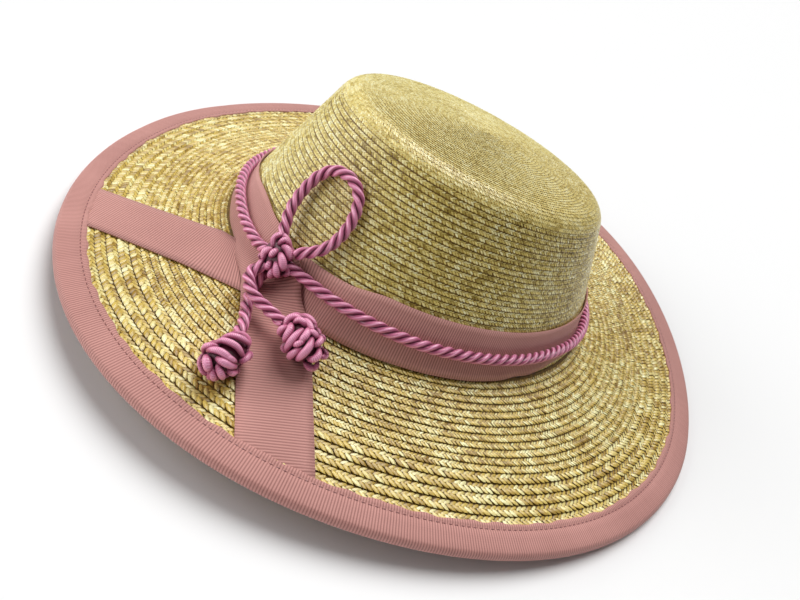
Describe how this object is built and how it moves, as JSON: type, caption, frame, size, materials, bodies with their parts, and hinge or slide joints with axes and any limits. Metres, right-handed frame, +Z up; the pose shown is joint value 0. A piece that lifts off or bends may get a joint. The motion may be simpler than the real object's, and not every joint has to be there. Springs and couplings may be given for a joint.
{
  "type": "straw hat",
  "caption": "Wide-brimmed straw sun hat with ribbon-bound edge, crossed ribbon band, and a twisted cord knotted in front with a loop and ball-knotted tails.",
  "frame": {"origin": "on the floor under the middle of the hat's bounding box, which the brim's edge rests on", "axes": "+Z up through the crown, -Y towards the hat's front, +X towards the wearer's left"},
  "size_m": [0.3166, 0.3588, 0.0955],
  "materials": {
    "straw": "satin",
    "ribbon": "matte",
    "cord": "satin"
  },
  "bodies": {
    "root": {"crown": "straw", "brim": "straw", "brim_binding": "ribbon", "hat_band": "ribbon", "ribbon_tail_left": "ribbon", "ribbon_tail_front": "ribbon", "cord_ring": "cord", "cord_knot": "cord", "cord_loop": "cord", "cord_tail_left": "cord", "cord_tail_right": "cord", "ball_knot_left": "cord", "ball_knot_right": "cord"}
  },
  "joints": []
}
